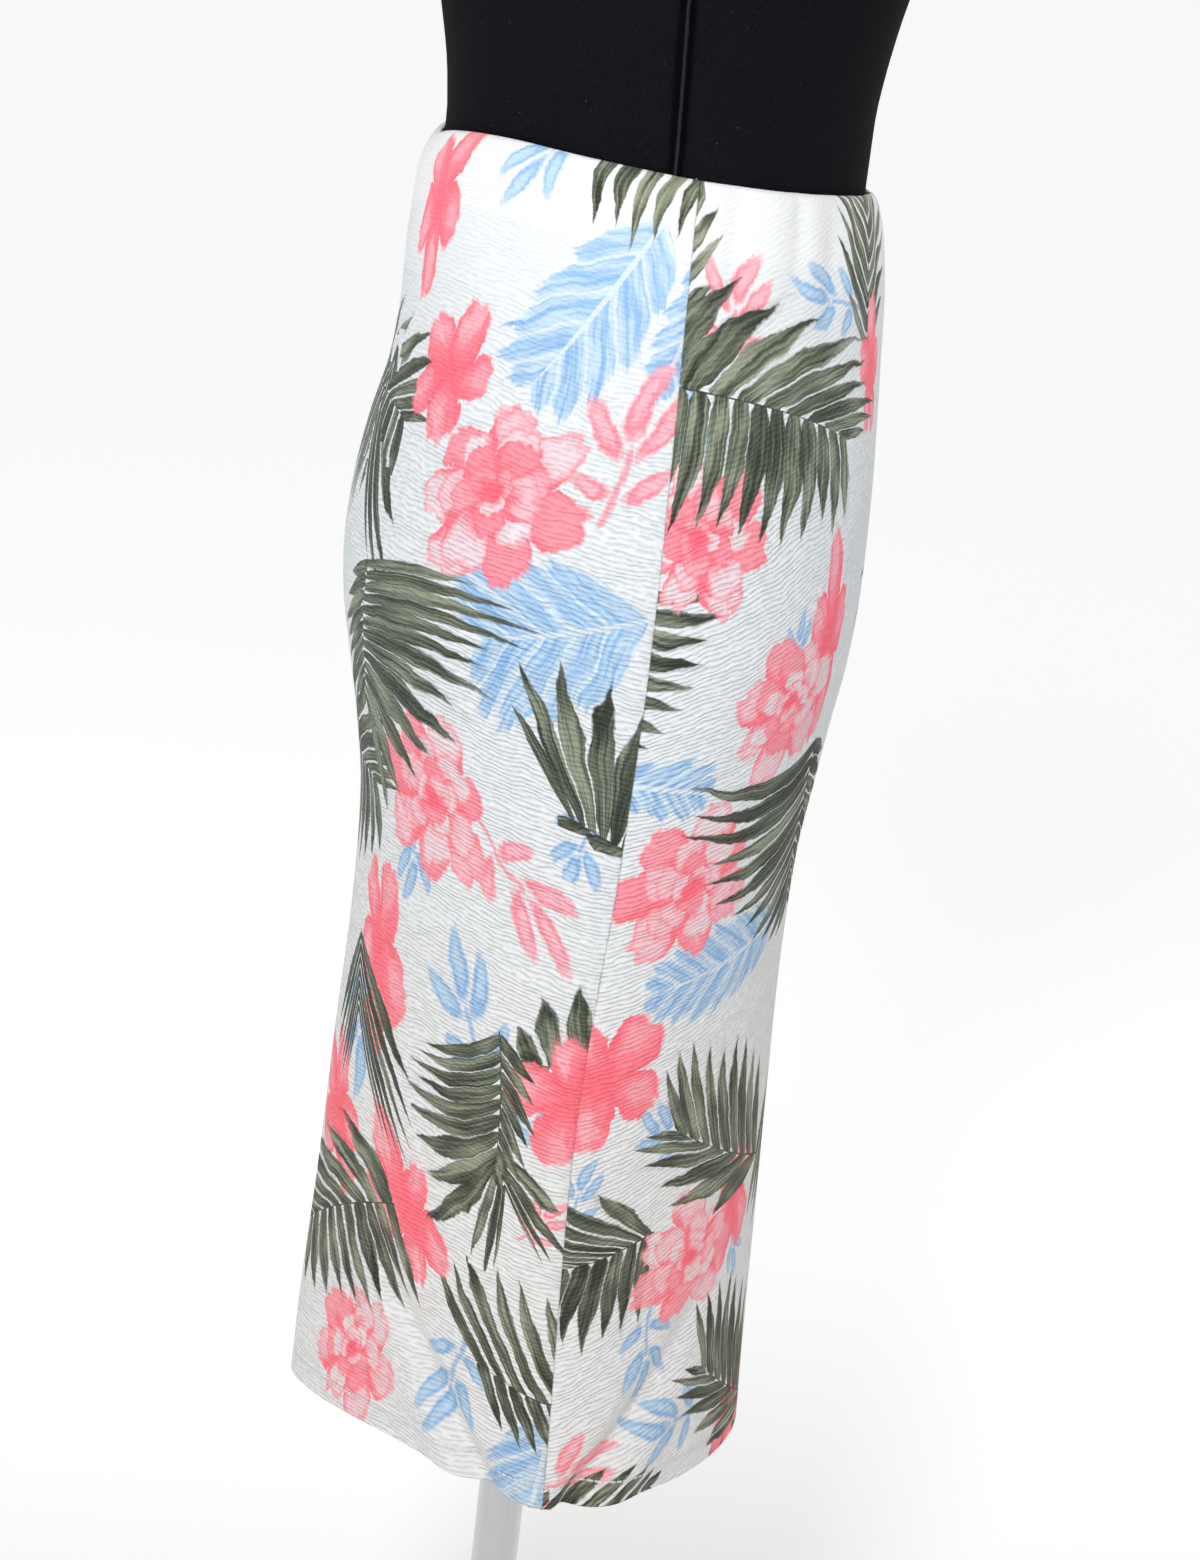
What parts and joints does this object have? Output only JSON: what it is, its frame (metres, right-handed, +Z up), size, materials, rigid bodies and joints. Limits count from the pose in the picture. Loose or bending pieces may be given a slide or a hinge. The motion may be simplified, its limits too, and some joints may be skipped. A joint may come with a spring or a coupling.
{
  "type": "pencil skirt on a dress form",
  "caption": "Fitted knee-to-calf pull-on pencil skirt in printed crepe knit, with an elastic waist, worn by a limbless dress form on a pole and round base.",
  "frame": {"origin": "on the floor, at the centre of the round base, under the pole", "axes": "+Z up, the front of the skirt faces -Y, the wearer's right is at -X"},
  "size_m": [0.4, 0.4, 1.4723],
  "materials": {
    "crepe_print": "white stretch crepe with a fine pebbled rib, printed all over with coral flowers, olive palm fronds and pale blue leaves",
    "black_jersey": "matt black cotton jersey stretched over the form, with a sewn seam down each side",
    "black_cap": "satin moulded plastic",
    "brushed_steel": "fine brushed steel"
  },
  "bodies": {
    "root": {"skirt_front": "crepe_print", "skirt_back": "crepe_print", "form_torso": "black_jersey", "form_neck_cap": "black_cap", "stand_pole": "brushed_steel", "stand_base": "brushed_steel"}
  },
  "joints": []
}
